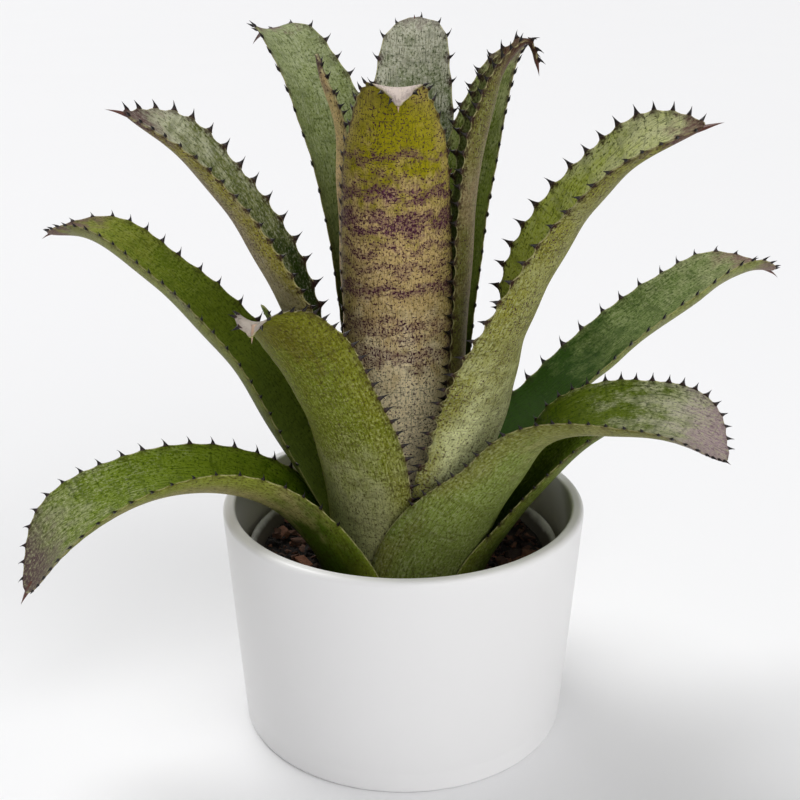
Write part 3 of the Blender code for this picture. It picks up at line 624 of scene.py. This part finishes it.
def set_values(obj, name, values):
    """Keeps a number, or a vector, for each vertex, for the materials to read."""
    values = np.asarray(values, np.float32)
    kind, field = ("FLOAT", "value") if values.ndim == 1 else ("FLOAT_VECTOR", "vector")
    obj.data.attributes.new(name, kind, "POINT").data.foreach_set(field, values.ravel())


def ring_faces(rings, steps):
    """Quads between closed rings of vertices that follow one another."""
    faces = []
    for i in range(rings - 1):
        for j in range(steps):
            k = (j + 1) % steps
            faces.append((i * steps + j, (i + 1) * steps + j, (i + 1) * steps + k, i * steps + k))
    return faces


def lathe(name, profile, steps, mat):
    """Solid turned from a profile of (radius, height) in millimetres that starts and ends on the axis."""
    turns = np.linspace(0, 2 * math.pi, steps, endpoint=False)
    verts = []
    for radius, height in profile[1:-1]:
        verts += [(radius * MM * math.cos(a), radius * MM * math.sin(a), height * MM) for a in turns]
    rings = len(profile) - 2
    faces = ring_faces(rings, steps)
    first, last = len(verts), len(verts) + 1
    verts += [(0, 0, profile[0][1] * MM), (0, 0, profile[-1][1] * MM)]
    for j in range(steps):
        k = (j + 1) % steps
        faces.append((first, j, k))
        faces.append((last, (rings - 1) * steps + k, (rings - 1) * steps + j))
    obj = mesh_object(name, verts, faces, [mat])
    turn_outwards(obj)
    return obj


def arc(centre, radius, start, end, count):
    """Points of an arc in (radius, height), angles in degrees."""
    return [(centre[0] + radius * math.cos(math.radians(a)), centre[1] + radius * math.sin(math.radians(a)))
            for a in np.linspace(start, end, count)]


def pot_radius(z):
    return POT_FOOT + (POT_RIM - POT_FOOT) * z / POT_HEIGHT


def cover_pot():
    """White pot with rounded lips and a shallow line above its foot."""
    inner_lip, outer_lip, floor_round, foot_round = 1.3, 2.2, 6.0, 1.6
    line_height, line_depth = 9.4, 0.12
    # Painted shade inside the pot starts this far below the lip and is full this much lower.
    painted_shade_from, painted_shade_run = 3.0, 24.0
    round_top = POT_FLOOR + floor_round
    lip_in, lip_out = POT_HEIGHT - inner_lip, POT_HEIGHT - outer_lip
    floor = arc((pot_radius(round_top) - POT_WALL - floor_round, round_top), floor_round, -90, 0, 7)
    inside = [(pot_radius(z) - POT_WALL, z) for z in np.linspace(round_top, lip_in, 12)]
    lip = arc((pot_radius(lip_in) - POT_WALL + inner_lip, lip_in), inner_lip, 180, 90, 7)[1:]
    lip += arc((pot_radius(lip_out) - outer_lip, lip_out), outer_lip, 90, 0, 8)[:-1]
    outside = [(pot_radius(z), z) for z in np.linspace(lip_out, line_height + 0.8, 14)]
    outside += [(pot_radius(line_height) - line_depth, line_height),
                (pot_radius(line_height - 0.8) - 0.05, line_height - 0.8), (pot_radius(4) - 0.1, 4.0)]
    foot = arc((POT_FOOT - foot_round, foot_round), foot_round, 0, -90, 7)
    profile = [(0, POT_FLOOR), (40, POT_FLOOR), *floor, *inside[1:], *lip, *outside, *foot,
               (POT_FOOT - 4, 0), (POT_FOOT - 4.5, 0), (0, 0)]
    pot = lathe("cover_pot_glazed", profile, 160, glaze_material())
    x, y, z = np.array([v.co for v in pot.data.vertices]).T / MM
    # The inside value gives the inner faces their amount of painted shade, growing downwards.
    hidden = (np.hypot(x, y) < pot_radius(z) - 0.8 * POT_WALL) & (z > 0.5 * POT_FLOOR)
    set_values(pot, "inside", np.where(hidden, np.clip((POT_HEIGHT - painted_shade_from - z) / painted_shade_run, 0, 1), 0))
    return pot


def grow_radius(z):
    low = POT_FLOOR + GAP
    return GROW_FOOT + (GROW_RIM - GROW_LIP_OUT - GROW_FOOT) * (z - low) / (GROW_TOP - low)


def drains(height):
    """Cutters for the drain holes, in a circle in the nursery pot's floor."""
    bm = bmesh.new()
    radius = DRAIN_RADIUS * MM
    for i in range(DRAIN_HOLES):
        a = 2 * math.pi * (i + 0.5) / DRAIN_HOLES
        spot = Vector((DRAIN_CIRCLE * math.cos(a), DRAIN_CIRCLE * math.sin(a), height)) * MM
        bmesh.ops.create_cone(bm, cap_ends=True, segments=24, radius1=radius, radius2=radius, depth=0.02,
                              matrix=Matrix.Translation(spot))
    return bmesh_object("drains", bm)


def grow_pot():
    """Thin nursery pot with a folded rim and drain holes."""
    low = POT_FLOOR + GAP
    floor = low + GROW_FLOOR
    inner = GROW_TOP - GROW_LIP_OUT
    under_lip = GROW_TOP - GROW_LIP
    profile = [
        (0, floor), (grow_radius(floor) - GROW_WALL - 1, floor),
        (grow_radius(floor + 1) - GROW_WALL, floor + 1),
        (grow_radius(inner) - GROW_WALL, inner), (GROW_RIM - 1.9, GROW_TOP - 0.3), (GROW_RIM - 1.4, GROW_TOP),
        (GROW_RIM - 0.5, GROW_TOP), (GROW_RIM - 0.1, GROW_TOP - 0.4), (GROW_RIM, GROW_TOP - 1),
        (GROW_RIM, under_lip), (grow_radius(under_lip - 1), under_lip - 1),
        (grow_radius(low + 1), low + 1), (grow_radius(low) - 1, low), (0, low)]
    pot = lathe("nursery_pot", profile, 120, plastic_material())
    cutters = drains(low)
    cut = pot.modifiers.new("drains", "BOOLEAN")
    cut.operation = "DIFFERENCE"
    cut.object = cutters
    graph = bpy.context.evaluated_depsgraph_get()
    result = bpy.data.meshes.new_from_object(pot.evaluated_get(graph))
    pot.modifiers.clear()
    pot.data = result
    bpy.data.objects.remove(cutters)
    return pot


# Soil


def heap(radius, outer):
    """How far the soil has risen at a radius."""
    return HEAP * np.clip((radius - SOIL_HOLE) / (outer - SOIL_HOLE), 0, 1) ** 1.5


def soil(rng):
    """Bed of dark soil with a lumpy top, as a closed shell round the leaf feet."""
    radii = np.linspace(4, grow_radius(SOIL_TOP - 1) - GROW_WALL - GAP, SOIL_RINGS)
    turns = np.linspace(0, 2 * math.pi, SOIL_STEPS, endpoint=False)
    r, a = np.meshgrid(radii, turns, indexing="ij")
    lump = 0.0
    for i in range(7):
        lump = lump + 0.6 ** i * np.sin(rng.uniform(0.25, 0.9) * r + rng.integers(4, 30) * a
                                        + rng.uniform(0, 6))
    top = SOIL_TOP + heap(r, radii[-1])
    height = np.where(r < SOIL_HOLE, SOIL_TOP - 6 + 0.3 * lump, top - 1.4 + 0.55 * lump)
    height = np.minimum(height, top + 0.4)
    verts = np.stack([r * np.cos(a), r * np.sin(a), height], -1).reshape(-1, 3)
    side = verts[-SOIL_STEPS:] * (0.93, 0.93, 0) + (0, 0, SOIL_TOP - 26)
    low = len(verts)
    faces = ring_faces(SOIL_RINGS + 1, SOIL_STEPS)
    faces.append(tuple(range(low + SOIL_STEPS - 1, low - 1, -1)))
    faces.append(tuple(range(SOIL_STEPS)))
    return mesh_object("soil_bed", np.vstack([verts, side]) * MM, faces, [soil_material()])


def bark(rng):
    """Pieces of bark on the soil, between the leaf feet and the nursery pot's wall."""
    bm = bmesh.new()
    tone = bm.verts.layers.float.new("tone")
    outer = grow_radius(SOIL_TOP) - GROW_WALL - GAP
    pieces = [(rng.uniform(*sizes), *kind) for count, sizes, *kind in BARK for _ in range(count)]
    for size, points, lift, usual_tone in pieces:
        reach = min(outer - 0.62 * size, rng.uniform(SOIL_HOLE - 3, outer))
        turn = rng.uniform(0, 2 * math.pi)
        height = SOIL_TOP + heap(reach, outer) + (-0.4 + 0.1 * size + rng.uniform(-0.6, 0.9)) * lift
        shape = Vector((1.0, rng.uniform(0.55, 0.85), rng.uniform(0.35, 0.6))) * size * MM
        fresh = []
        for _ in range(points):
            d = Vector(rng.normal(size=3)).normalized() * rng.uniform(0.42, 0.5)
            d.x, d.y, d.z = (max(-0.36, min(0.36, c)) for c in d)
            fresh.append(bm.verts.new(d * 1.3))
        made = bmesh.ops.convex_hull(bm, input=fresh)
        unused = [v for v in made["geom_interior"] + made["geom_unused"] if isinstance(v, bmesh.types.BMVert)]
        bmesh.ops.delete(bm, geom=list(set(unused)), context="VERTS")
        place = Vector((reach * math.cos(turn), reach * math.sin(turn), height)) * MM
        turned = (Matrix.Translation(place) @ Matrix.Rotation(rng.uniform(0, 6.28), 4, "Z")
                  @ Matrix.Rotation(rng.uniform(-0.5, 0.5), 4, "X")
                  @ Matrix.Rotation(rng.uniform(-0.4, 0.4), 4, "Y") @ Matrix.Diagonal((*shape, 1)))
        shade = min(1.0, max(0.0, rng.normal(usual_tone, 0.25)))
        for v in fresh:
            if v.is_valid:
                v.co = turned @ v.co
                v[tone] = shade
    bmesh.ops.recalc_face_normals(bm, faces=bm.faces)
    return bmesh_object("bark_chunks", bm, [bark_material()])


# Leaves


def spline(knots, values, places):
    """Smooth curve through the stations (cubic Hermite)."""
    slopes = np.gradient(values, knots, axis=0)
    i = np.clip(np.searchsorted(knots, places, side="right") - 1, 0, len(knots) - 2)
    h = (knots[i + 1] - knots[i])[:, None]
    s = (places - knots[i])[:, None] / h
    start = (1 + 2 * s) * (1 - s) ** 2 * values[i] + s * (1 - s) ** 2 * h * slopes[i]
    end = s * s * (3 - 2 * s) * values[i + 1] + s * s * (s - 1) * h * slopes[i + 1]
    return start + end


def unit(vectors):
    return vectors / np.linalg.norm(vectors, axis=1)[:, None]


def distances(points):
    """Length along a line of points up to each of them."""
    return np.concatenate([[0], np.cumsum(np.linalg.norm(np.diff(points, axis=0), axis=1))])


class Leaf:
    """Centre line, section and frame of one leaf, in millimetres, as in the part."""

    def __init__(self, azimuth, stations, close):
        rows = np.array(stations, float)
        foot = math.hypot(rows[0, 0], rows[0, 2]) - BLADE / 2
        rows[0, 1] = STEM_EDGE_TOP + (STEM_EDGE - foot) * STEM_RISE + GAP
        a = math.radians(azimuth)
        outward = np.array([math.cos(a), math.sin(a), 0.0])
        self.across = np.array([-math.sin(a), math.cos(a), 0.0])
        centre = rows[:, :1] * outward + rows[:, 2:3] * self.across + rows[:, 1:2] * (0, 0, 1)
        self.knots = distances(centre)
        self.values = np.hstack([centre, rows[:, 3:]])
        self.fine = np.linspace(0, self.knots[-1], 400)
        self.run = distances(spline(self.knots, self.values, self.fine)[:, :3])
        self.length = self.run[-1]
        self.closing = close * rows[-1, 3] + TIP_ROUND

    def at(self, lengths):
        """Centre, tangent, side, normal, half width and half angle; past its end a leaf runs straight on."""
        places = np.interp(lengths, self.run, self.fine)
        value = spline(self.knots, self.values, places)
        behind, ahead = (spline(self.knots, self.values, np.clip(places + step, 0, self.knots[-1]))
                         for step in (-0.5, 0.5))
        tangent = unit((ahead - behind)[:, :3])
        side = unit(self.across - (tangent @ self.across)[:, None] * tangent)
        normal = np.cross(tangent, side)
        roll = np.radians(value[:, 5])[:, None]
        turned = side * np.cos(roll) + normal * np.sin(roll)
        normal = normal * np.cos(roll) - side * np.sin(roll)
        past = np.maximum(lengths - self.length, 0.0)
        centre = value[:, :3] + tangent * past[:, None]
        share = np.clip((lengths - self.length - TIP_ROUND + self.closing) / self.closing, 0, 1)
        half = value[:, 3] * np.maximum(1 - share ** 2.2, 0) ** 0.5 + 0.05
        return centre, tangent, turned, normal, half, np.radians(value[:, 4])

    def end_rows(self, count):
        """Lengths of the rows in which the rounded tip closes, denser towards its end."""
        end = self.length + TIP_ROUND
        return end - self.closing * np.cos(np.linspace(0, math.pi / 2, count))

    def margin_points(self, lengths, hand):
        centre, _, side, normal, half, angle = self.at(lengths)
        radius = (half / angle)[:, None]
        turn = hand * angle[:, None]
        return centre + side * radius * np.sin(turn) + normal * radius * (1 - np.cos(turn))

    def margin(self, lengths, hand):
        """Points of one margin (hand -1 or +1), the direction along it, outwards from it and off its face."""
        along = unit(self.margin_points(lengths + 0.3, hand) - self.margin_points(lengths - 0.3, hand))
        _, _, side, normal, _, angle = self.at(lengths)
        turn = hand * angle[:, None]
        outward = unit(hand * np.cross(normal * np.cos(turn) - side * np.sin(turn), along))
        return self.margin_points(lengths, hand), along, outward, np.cross(along, outward) * hand


def crests(form, hand, teeth_from, pitch, rng):
    """Where the teeth of a margin stand, spaced along the margin: closer together towards the tip."""
    start = teeth_from * form.length
    lengths = np.arange(start, form.length + TIP_ROUND - form.closing, 0.5)
    lengths = np.concatenate([lengths, form.end_rows(40)])
    run = distances(form.margin_points(lengths, hand))
    places = []
    place = rng.uniform(0, 0.5) * pitch
    while place < run[-1] - END_BARE:
        places.append(place)
        share = place / run[-1]
        place += pitch * (1.05 - 0.4 * max(0.0, share - 0.45) / 0.55) * rng.uniform(0.88, 1.12)
    return np.interp(places, run, lengths)


def notch_depth(lengths, teeth, low, high, length):
    """How far the margin is cut back at each length: round notches between sharp crests."""
    k = np.clip(np.searchsorted(teeth, lengths) - 1, 0, len(teeth) - 2)
    share = (lengths - teeth[k]) / (teeth[k + 1] - teeth[k])
    inside = (share > 0) & (share < 1)
    depth = low + (high - low) * (lengths - teeth[0]) / max(length - teeth[0], 1.0)
    return np.where(inside, depth * np.sin(np.pi * np.clip(share, 0, 1)) ** 0.75, 0.0)


def blade_faces(rows, columns):
    """The upper and the under face of a blade and the edge that joins them, all turned outwards."""
    count = rows * columns
    i, j = np.meshgrid(np.arange(rows - 1), np.arange(columns - 1), indexing="ij")
    a = (i * columns + j).ravel()
    upper = np.stack([a, a + columns, a + columns + 1, a + 1], -1)
    faces = upper.tolist() + (upper[:, ::-1] + count).tolist()
    ring = [i * columns for i in range(rows)] + list(range((rows - 1) * columns + 1, count))
    ring += [i * columns + columns - 1 for i in range(rows - 2, -1, -1)] + list(range(columns - 2, 0, -1))
    for a, b in zip(ring, ring[1:] + ring[:1]):
        faces.append((b, a, a + count, b + count))
    return faces


def blade_values(form, lengths, half, spread, cut, teeth):
    """What the skin reads at each vertex, first for the upper face and then for the under one."""
    edge = np.minimum(half - cut[0] + spread, half - cut[1] - spread)
    tooth = np.full(spread.shape, np.inf)
    for hand, places in zip((-1, 1), teeth):
        gap = np.abs(lengths[:, None] - places[None, :]).min(axis=1)
        tooth = np.minimum(tooth, np.hypot(gap[:, None], half - hand * spread))
    rows = np.broadcast_to(lengths[:, None], spread.shape)
    values = {"along": rows / form.length, "edge": edge, "tooth": tooth}
    values = {key: np.tile(v.ravel(), 2) for key, v in values.items()}
    values["face"] = np.repeat([1.0, 0.0], spread.size)
    place = np.tile(np.stack([spread, rows], -1).reshape(-1, 2), (2, 1))
    values["place"] = np.hstack([place, values["face"][:, None] * FACE_LAYER])
    return values


def blade(form, teeth, look, rng):
    """Verts, faces and vertex values of one blade with its notched margins and low waves."""
    lengths = np.arange(0, form.length + TIP_ROUND - form.closing - 0.5 * ROW_STEP, ROW_STEP)
    lengths = np.concatenate([lengths, form.end_rows(20)])
    centre, _, side, normal, half, angle = form.at(lengths)
    half, angle = half[:, None], angle[:, None]
    _, low, high = look["teeth"]
    cut = [np.minimum(notch_depth(lengths, t, low, high, form.length)[:, None], 0.3 * half) for t in teeth]
    across = np.linspace(-1, 1, COLUMNS + 1)[None, :]
    trim = np.where(across < 0, cut[0], cut[1]) * np.abs(across) ** 3
    spread = across * half - np.sign(across) * trim
    turn = spread / half * angle
    radius = half / angle
    inward = normal[:, None] * np.cos(turn)[..., None] - side[:, None] * np.sin(turn)[..., None]
    middle = (centre[:, None] + side[:, None] * (radius * np.sin(turn))[..., None]
              + normal[:, None] * (radius * (1 - np.cos(turn)))[..., None])
    wave = 0.0
    for _ in range(4):
        wave = wave + 0.22 * np.sin(lengths[:, None] / rng.uniform(4, 11) + across * rng.uniform(-3, 3)
                                    + rng.uniform(0, 6.3))
    fade = np.clip(lengths / 60.0 - 0.8, 0, 1)[:, None] * (1 - 0.6 * np.abs(across) ** 6)
    crimp = 0.35 * np.cos(np.pi * np.minimum(*cut) / max(low, 0.1)) * np.abs(across) ** 5
    middle = middle + inward * ((wave + crimp) * fade)[..., None]
    thick = BLADE_MARGIN + (BLADE_MIDDLE - BLADE_MARGIN) * (1 - np.abs(across) ** 3)
    offset = inward * (np.minimum(thick, 0.25 * half + 0.2) / 2)[..., None]
    verts = np.vstack([(middle + offset).reshape(-1, 3), (middle - offset).reshape(-1, 3)])
    return verts, blade_faces(*spread.shape), blade_values(form, lengths, half, spread, cut, teeth)


def spine(root, outward, along, off, size, lean, width, droop=0.0, taper=2.5, depth=0.6, rise=0.24):
    """Verts, faces and shares of the length of one horn, broad at its root and bent at its tip."""
    u = SPINE_RINGS
    path = (root + outward * (size * (1.12 * u - 0.12) - 0.5)[:, None]
            + along * (lean * size * (0.05 * u + 0.95 * u ** 2.6))[:, None]
            - off * (droop * size * u ** 2)[:, None])
    wide = width * (1 - u) ** taper + 0.3 * (1 - u) ** 0.6
    thick = (depth * (1 - u) ** 1.3 + 0.2 * (1 - u) ** 0.6) * np.minimum(1.0, 0.12 + u / rise)
    turns = np.linspace(0, 2 * math.pi, SPINE_SIDES, endpoint=False)
    verts = (path[:, None] + along[None, None] * (wide[:, None] * np.cos(turns))[..., None]
             + off[None, None] * (thick[:, None] * np.sin(turns))[..., None]).reshape(-1, 3)
    tip = root + outward * (size - 0.5) + along * lean * size - off * droop * size
    faces = ring_faces(len(u), SPINE_SIDES)
    last = len(verts) - SPINE_SIDES
    for j in range(SPINE_SIDES):
        faces.append((len(verts), last + (j + 1) % SPINE_SIDES, last + j))
    faces.append(tuple(range(SPINE_SIDES)))
    return np.vstack([verts, tip]), faces, np.append(np.repeat(u, SPINE_SIDES), 1.0)


def leaf_spines(form, teeth, look, lean, front_hand, rng):
    """All the spines of one leaf, in both margins, and the horn at its end."""
    parts = []
    first, last = look["spines"]
    for hand, places in zip((-1, 1), teeth):
        near, breadth = (look["near"], 0.26) if hand == front_hand else (1.0, 0.33)
        roots, along, outward, off = form.margin(places, hand)
        for i, place in enumerate(places):
            share = (place - places[0]) / (form.length - places[0])
            size = (first + (last - first) * share) * rng.uniform(0.86, 1.1) * near + 0.5
            parts.append(spine(roots[i], outward[i], along[i], off[i], size, lean * rng.uniform(0.8, 1.3),
                               breadth * size + 0.1))
    centre, tangent, side, normal = (v[0] for v in form.at(np.array([form.length - END_SUNK]))[:4])
    size, width, droop = look["end"]
    verts, faces, horn = spine(centre, tangent, side, normal, size + END_SUNK, 0.0, width, droop,
                               taper=1.1, depth=0.6 * width, rise=0.55)
    parts.append((verts, faces, horn * 0.5 + look["horn"]))
    return parts


def leaf(name, index, horn_material):
    """One leaf: blade, spines, their materials, and the values that these read."""
    azimuth, teeth_from, lean, stations = LEAVES[name]
    look = {**PLAIN, **LOOKS.get(name, {})}
    rng = np.random.default_rng(LEAF_SEED + index)
    form = Leaf(azimuth, stations, look["close"])
    front_hand = 1 if 90 < azimuth < 270 else -1
    pitch = look["teeth"][0]
    teeth = [crests(form, hand, teeth_from, pitch * (look["near_pitch"] if hand == front_hand else 1.0), rng)
             for hand in (-1, 1)]
    verts, faces, values = blade(form, teeth, look, rng)
    values["place"][:, 2] += index * LEAF_LAYER
    stack, horns, blade_count = [verts], [np.zeros(len(verts))], len(faces)
    total = len(verts)
    for part, part_faces, part_horn in leaf_spines(form, teeth, look, lean, front_hand, rng):
        faces += [tuple(total + v for v in face) for face in part_faces]
        stack.append(part)
        horns.append(part_horn)
        total += len(part)
    materials = [leaf_material(name + "_skin", look), horn_material]
    obj = mesh_object(name + "_blade", np.vstack(stack) * MM, faces, materials)
    obj.data.polygons.foreach_set("material_index", [int(i >= blade_count) for i in range(len(faces))])
    for key, data in values.items():
        set_values(obj, key, np.concatenate([data, np.zeros((total - len(data), *data.shape[1:]))]))
    set_values(obj, "horn", np.concatenate(horns))
    turn_outwards(obj, blade_count)
    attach(obj, "root")
    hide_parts(name)


# Stage


def stage():
    half = FLOOR_SIZE / 2
    corners = [(-half, -half, 0), (half, -half, 0), (half, half, 0), (-half, half, 0)]
    floor = mesh_object("floor", corners, [(0, 1, 2, 3)], [floor_material()])


def soft_light(name, azimuth, elevation, spread, strength):
    """Wide soft light from a direction."""
    data = bpy.data.lights.new(name, "SUN")
    data.energy = strength
    data.angle = math.radians(spread)
    a, e = math.radians(azimuth), math.radians(elevation)
    towards = Vector((math.cos(a) * math.cos(e), math.sin(a) * math.cos(e), math.sin(e)))
    obj = link(bpy.data.objects.new(name, data))
    obj.rotation_euler = towards.to_track_quat("Z", "Y").to_euler()


def lights():
    world = bpy.data.worlds.new("studio")
    world.use_nodes = True
    background = world.node_tree.nodes["Background"]
    background.inputs["Color"].default_value = (1.0, 1.0, 1.01, 1.0)
    background.inputs["Strength"].default_value = WORLD_LIGHT
    bpy.context.scene.world = world
    soft_light("key", *KEY_LIGHT)
    soft_light("side", *SIDE_LIGHT)
    bpy.context.scene.view_settings.view_transform = "Standard"


def camera():
    data = bpy.data.cameras.new("camera")
    data.sensor_width = CAMERA_SENSOR
    data.lens = CAMERA_LENS
    data.clip_start = 0.02
    obj = link(bpy.data.objects.new("camera", data))
    obj.location = CAMERA_PLACE
    obj.rotation_euler = (math.radians(CAMERA_ANGLE), 0, 0)
    bpy.context.scene.camera = obj


def main():
    for obj, node, slot in ((cover_pot(), "cover_pot", "white_glaze"),
                            (grow_pot(), "grow_pot", "pale_plastic"),
                            (soil(np.random.default_rng(SOIL_SEED)), "substrate", "bark_soil")):
        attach(obj, "root")
        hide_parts(node)
    chunks = bark(np.random.default_rng(BARK_SEED))
    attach(chunks, "root")
    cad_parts["stem"].data.materials.clear()
    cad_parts["stem"].data.materials.append(stem_material())
    horn_material = spine_material()
    for index, name in enumerate(LEAVES):
        leaf(name, index, horn_material)
    stage()
    lights()
    camera()


main()
